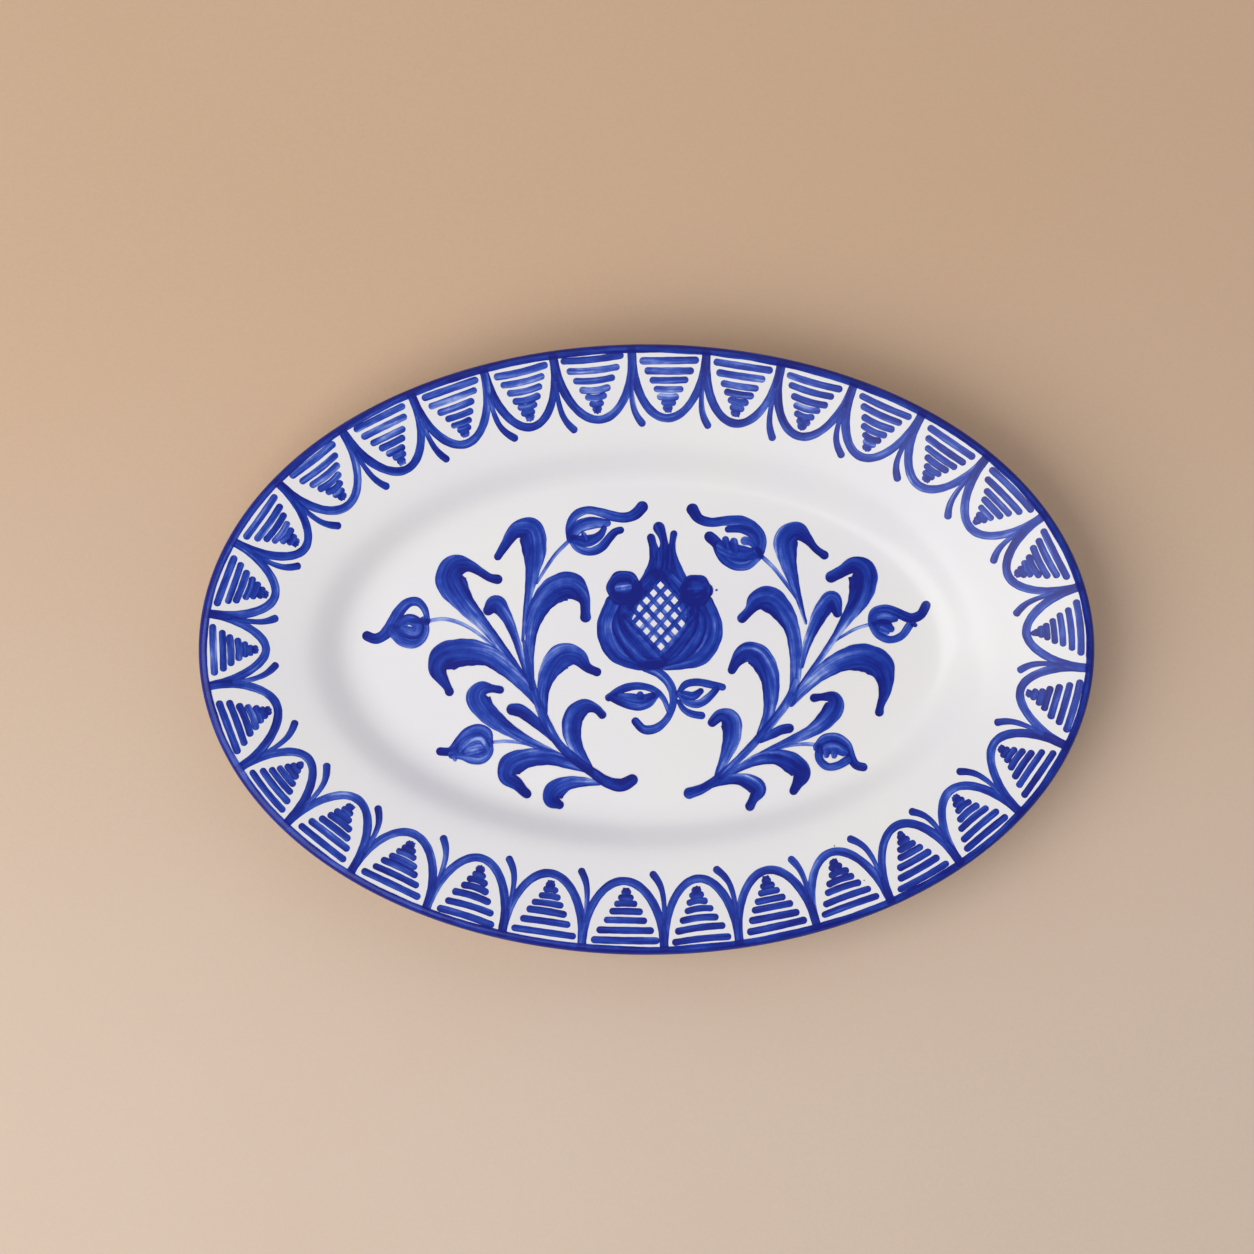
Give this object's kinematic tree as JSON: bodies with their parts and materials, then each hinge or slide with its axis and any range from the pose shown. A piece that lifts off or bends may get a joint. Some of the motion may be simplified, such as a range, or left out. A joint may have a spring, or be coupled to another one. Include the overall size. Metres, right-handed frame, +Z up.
{
  "type": "oval serving plate",
  "caption": "Oval tin-glazed earthenware plate with a sunken well, broad sloping rim, rounded lip and oval foot ring, painted by hand in blue.",
  "frame": {"origin": "middle of the flat plane that the foot ring rests on, under the centre of the well", "axes": "+X along the plate's length, +Y along its width towards the top of the painted picture, +Z up out of the well"},
  "size_m": [0.33, 0.225, 0.03],
  "materials": {
    "fired_clay": "bare fired earthenware, matt and slightly gritty",
    "white_glaze": "opaque white tin glaze, glossy",
    "cobalt_glaze": "cobalt blue brushwork fired into the glaze, glossy"
  },
  "bodies": {
    "root": {"clay_body": "fired_clay", "face_glaze": "white_glaze", "lip_band": "cobalt_glaze", "back_glaze": "white_glaze", "foot_recess_glaze": "white_glaze"}
  },
  "joints": []
}
